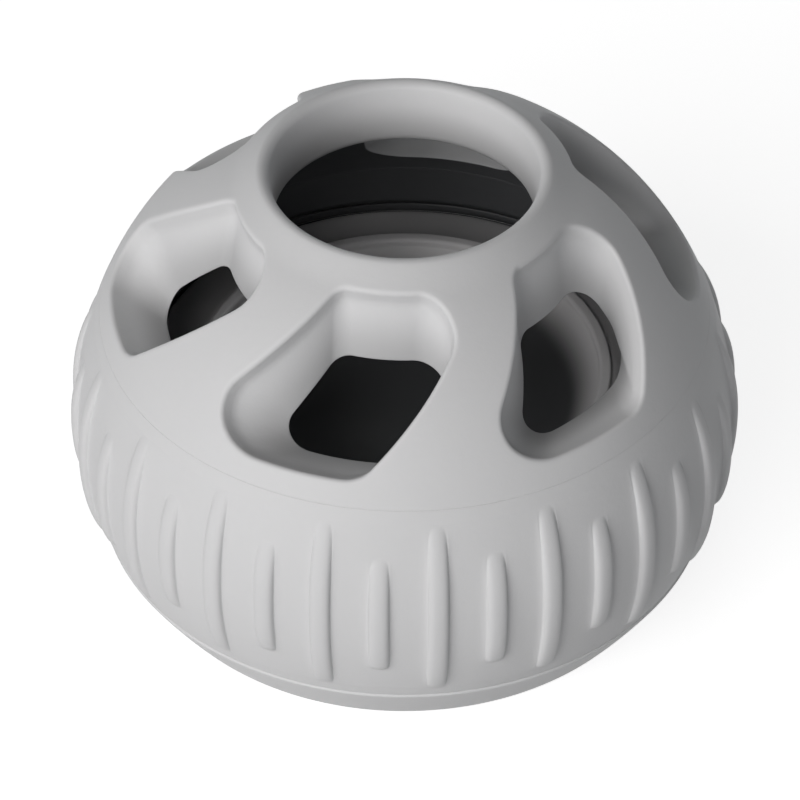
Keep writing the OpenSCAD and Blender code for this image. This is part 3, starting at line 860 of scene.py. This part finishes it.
studio = {
    "floorSize": 3.0,
    "floorShade": 0.42, "floorLift": 0.83,  # the floor's colour, and its lift for the camera alone
    "floorDrop": 0.2,                       # how far the floor lies under the rest face
    "walls": (0.76, 0.775, 0.795),          # the room's glow, from low at all sides
    "wallTop": 0.24, "wallFade": 0.36,      # how steep a direction still meets it
    "target": (-0.64, 0.0, 24.56), "elevation": 41.2, "distance": 731.0,
    "lens": 225.0, "sensor": 36.0, "clip": (0.05, 10.0),
}
lamps = {
    "keyLamp": {"azimuth": -34.0, "height": 28.0, "distance": 1.6, "size": 1.25, "power": 23.8,
                "colour": (1.0, 0.99, 0.985)},
    "backLamp": {"azimuth": 180.0, "height": 40.0, "distance": 1.3, "size": 0.7, "power": 2.2,
                 "colour": (0.97, 1.0, 1.0)},
}


def studioFloor():
    half = studio["floorSize"] / 2
    mesh = bpy.data.meshes.new("studioFloor")
    mesh.from_pydata([(-half, -half, 0), (half, -half, 0), (half, half, 0), (-half, half, 0)], [],
                     [(0, 1, 2, 3)])
    floor = bpy.data.objects.new("studioFloor", mesh)
    bpy.context.collection.objects.link(floor)
    floor.location.z = -studio["floorDrop"] * mm
    made = bpy.data.materials.new("paleFloor")
    made.use_nodes = True
    made.node_tree.nodes.clear()
    start = Wire(made.node_tree)
    ray = start.add("ShaderNodeLightPath").socket.node.outputs
    seen = Wire(start.tree, ray["Is Camera Ray"]).most(Wire(start.tree, ray["Is Glossy Ray"]))
    seen = seen.most(Wire(start.tree, ray["Is Transmission Ray"]))
    matt = start.add("ShaderNodeBsdfDiffuse", None, {"Color": (*[studio["floorShade"]] * 3, 1.0)})
    glow = start.add("ShaderNodeEmission", None,
                     {"Color": (1.0, 1.0, 1.0, 1.0), "Strength": studio["floorLift"]})
    lifted = start.add("ShaderNodeAddShader", None, {"Shader": matt, "Shader_001": glow})
    mixed = start.add("ShaderNodeMixShader", None, {"Fac": seen, "Shader": matt,
                                                    "Shader_001": lifted})
    start.add("ShaderNodeOutputMaterial", None, {"Surface": mixed})
    mesh.materials.append(made)


def studioWorld():
    world = bpy.data.worlds.new("softRoom")
    bpy.context.scene.world = world
    world.use_nodes = True
    world.node_tree.nodes.clear()
    start = Wire(world.node_tree)
    ray = start.add("ShaderNodeLightPath").socket.node.outputs
    seen = Wire(start.tree, ray["Is Camera Ray"]).most(Wire(start.tree, ray["Is Transmission Ray"]))
    aim = start.add("ShaderNodeTexCoord", out="Generated")
    steep = Wire(start.tree, start.add("ShaderNodeSeparateXYZ", None, {"Vector": aim})
                 .socket.node.outputs["Z"])
    level = start.add("ShaderNodeMapRange", {"interpolation_type": "SMOOTHSTEP"},
                      {"Value": steep, "From Min": studio["wallFade"],
                       "From Max": studio["wallTop"]})
    soft = start.add("ShaderNodeBackground", None,
                     {"Color": (*studio["walls"], 1.0), "Strength": level})
    white = start.add("ShaderNodeBackground", None, {"Color": (1.0, 1.0, 1.0, 1.0)})
    mixed = start.add("ShaderNodeMixShader", None, {"Fac": seen, "Shader": soft,
                                                    "Shader_001": white})
    start.add("ShaderNodeOutputWorld", None, {"Surface": mixed})


def softbox(name, azimuth, height, distance, size, power, colour):
    # square lamp, aimed at the ball from an azimuth counted from the front towards +X
    data = bpy.data.lights.new(name, "AREA")
    data.size, data.energy, data.color = size, power, colour
    lamp = bpy.data.objects.new(name, data)
    bpy.context.collection.objects.link(lamp)
    a, h = math.radians(azimuth), math.radians(height)
    away = np.array([math.cos(h) * math.sin(a), -math.cos(h) * math.cos(a), math.sin(h)])
    lamp.location = ballCentre * mm + away * distance
    lamp.rotation_euler = (math.pi / 2 - h, 0, a)


def photoCamera():
    lens = bpy.data.cameras.new("camera")
    lens.lens, lens.sensor_width = studio["lens"], studio["sensor"]
    lens.clip_start, lens.clip_end = studio["clip"]
    camera = bpy.data.objects.new("camera", lens)
    bpy.context.collection.objects.link(camera)
    tilt = math.radians(studio["elevation"])
    away = np.array([0.0, -math.cos(tilt), math.sin(tilt)]) * studio["distance"]
    camera.location = (np.array(studio["target"]) + away) * mm
    camera.rotation_euler = (math.pi / 2 - tilt, 0, 0)
    bpy.context.scene.camera = camera


studioFloor()
studioWorld()
for lampName, lamp in lamps.items():
    softbox(lampName, **lamp)
photoCamera()
print("made studio")
